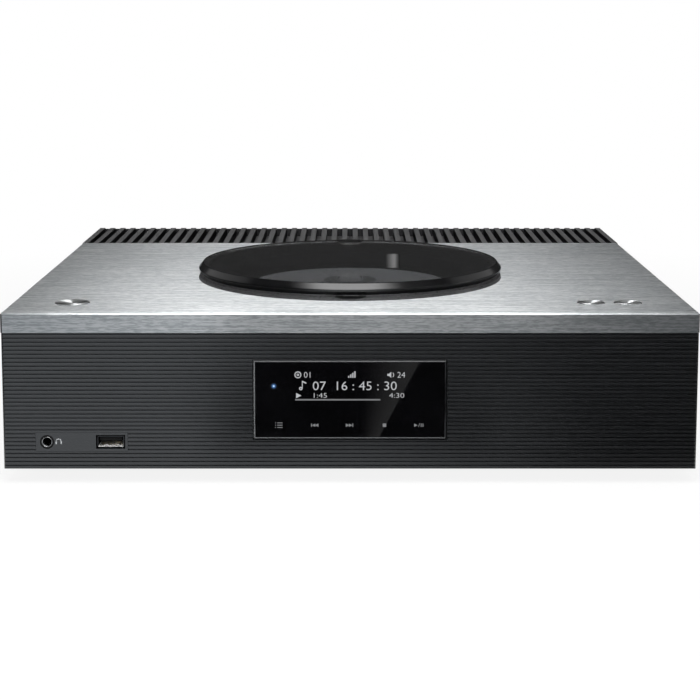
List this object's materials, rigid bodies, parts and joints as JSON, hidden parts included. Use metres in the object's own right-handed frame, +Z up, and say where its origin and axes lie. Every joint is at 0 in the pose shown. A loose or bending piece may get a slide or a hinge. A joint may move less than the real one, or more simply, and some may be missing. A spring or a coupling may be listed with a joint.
{
  "type": "cd receiver",
  "caption": "Compact top-loading CD receiver: brushed top plate with a round smoked lid that swings aside over the disc well, ribbed fascia with a display, finned rear.",
  "frame": {"origin": "middle of the bounding box, on the surface that the feet stand on", "axes": "+X to the right seen from the front, +Y to the rear, +Z up"},
  "size_m": [0.34, 0.341, 0.094],
  "materials": {
    "brushed_aluminium": "brushed along the width, clear anodised",
    "button_aluminium": "dished and spun, clear anodised",
    "fascia_aluminium": "dark grey anodised, ribbed",
    "black_aluminium": "black anodised",
    "painted_steel": "fine black texture paint",
    "display_glass": "polished black",
    "smoked_acrylic": "polished, smoked and see-through",
    "well_grey": "satin",
    "ring_black": "gloss",
    "pivot_metal": "dark polished",
    "black_plastic": "fine moulded grain",
    "red_plastic": "moulded",
    "white_plastic": "moulded",
    "rubber_black": "matt",
    "bright_steel": "ground",
    "black_screw": "black zinc",
    "motor_steel": "zinc plated",
    "gold_plate": "polished gold plate",
    "nickel_plate": "bright nickel plate",
    "circuit_board": "solder mask",
    "blue_light": "clear",
    "lens_glass": "coated"
  },
  "bodies": {
    "case": {"top_plate": "brushed_aluminium", "front_panel": "fascia_aluminium", "port_strip": "fascia_aluminium", "heat_sink": "black_aluminium", "base_tray": "painted_steel", "left_side_panel": "painted_steel", "right_side_panel": "painted_steel", "rear_panel": "painted_steel", "display_window": "display_glass", "disc_well": "well_grey", "well_ring": "ring_black", "feet": "black_plastic", "headphone_socket": "black_plastic", "usb_tongue": "black_plastic", "optical_socket": "black_plastic", "mains_inlet": "black_plastic", "phono_inserts": "white_plastic", "thrust_washer": "white_plastic", "foot_pads": "rubber_black", "rubber_mounts": "rubber_black", "pivot_pin": "bright_steel", "guide_rods": "bright_steel", "foot_screws": "bright_steel", "case_screws": "black_screw", "spindle_motor": "motor_steel", "feed_motor": "motor_steel", "drive_frame": "motor_steel", "speaker_terminals": "gold_plate", "phono_shells": "gold_plate", "headphone_ring": "nickel_plate", "usb_shell": "nickel_plate", "lan_socket": "nickel_plate", "aerial_socket": "nickel_plate", "inlet_pins": "nickel_plate", "display_module": "circuit_board", "touch_strip": "circuit_board", "port_board": "circuit_board", "power_key_board": "circuit_board", "volume_key_board": "circuit_board", "main_board": "circuit_board", "power_supply": "circuit_board", "amplifier_board": "circuit_board", "status_light": "blue_light"},
    "lid": {"lid": "smoked_acrylic", "lid_bush": "gold_plate", "pivot_cap": "pivot_metal"},
    "power_button": {"power_button": "button_aluminium"},
    "volume_down_button": {"volume_down_button": "button_aluminium"},
    "volume_up_button": {"volume_up_button": "button_aluminium"},
    "turntable": {"turntable": "black_plastic", "turntable_mat": "rubber_black", "chuck_balls": "bright_steel", "spindle_shaft": "bright_steel"},
    "pickup": {"pickup_sled": "black_plastic", "pickup_lens": "lens_glass"},
    "feed_screw": {"feed_screw": "bright_steel"},
    "speaker_knob_1": {"speaker_knob_1": "black_plastic"},
    "speaker_knob_2": {"speaker_knob_2": "red_plastic"},
    "speaker_knob_3": {"speaker_knob_3": "black_plastic"},
    "speaker_knob_4": {"speaker_knob_4": "red_plastic"}
  },
  "joints": [
    {"name": "lid_swing", "type": "hinge", "parent": "case", "child": "lid", "pos_m": [0, 0.0224, 0.09], "axis": [0, 0, 1], "range_deg": [0, 150]},
    {"name": "power_press", "type": "slide", "parent": "case", "child": "power_button", "axis": [0, 0, -1], "range_m": [0, 0.0008], "stiffness_N_per_m": 800},
    {"name": "volume_down_press", "type": "slide", "parent": "case", "child": "volume_down_button", "axis": [0, 0, -1], "range_m": [0, 0.0008], "stiffness_N_per_m": 800},
    {"name": "volume_up_press", "type": "slide", "parent": "case", "child": "volume_up_button", "axis": [0, 0, -1], "range_m": [0, 0.0008], "stiffness_N_per_m": 800},
    {"name": "disc_spin", "type": "hinge", "parent": "case", "child": "turntable", "pos_m": [0, -0.053, 0.0772], "axis": [0, 0, 1], "continuous": true},
    {"name": "pickup_slide", "type": "slide", "parent": "case", "child": "pickup", "axis": [0, -1, 0], "range_m": [0, 0.033]},
    {"name": "feed_screw_turn", "type": "hinge", "parent": "case", "child": "feed_screw", "pos_m": [0.027, -0.053, 0.0693], "axis": [0, 1, 0], "range_deg": [0, 3961]},
    {"name": "knob_1_turn", "type": "hinge", "parent": "case", "child": "speaker_knob_1", "pos_m": [0.063, 0.1635, 0.0306], "axis": [0, 1, 0], "range_deg": [0, 720]},
    {"name": "knob_2_turn", "type": "hinge", "parent": "case", "child": "speaker_knob_2", "pos_m": [0.085, 0.1635, 0.0306], "axis": [0, 1, 0], "range_deg": [0, 720]},
    {"name": "knob_3_turn", "type": "hinge", "parent": "case", "child": "speaker_knob_3", "pos_m": [0.063, 0.1635, 0.0526], "axis": [0, 1, 0], "range_deg": [0, 720]},
    {"name": "knob_4_turn", "type": "hinge", "parent": "case", "child": "speaker_knob_4", "pos_m": [0.085, 0.1635, 0.0526], "axis": [0, 1, 0], "range_deg": [0, 720]}
  ],
  "couplings": [
    {"joint": "feed_screw_turn", "follows": "pickup_slide", "rad_per_m": 2094.4}
  ]
}
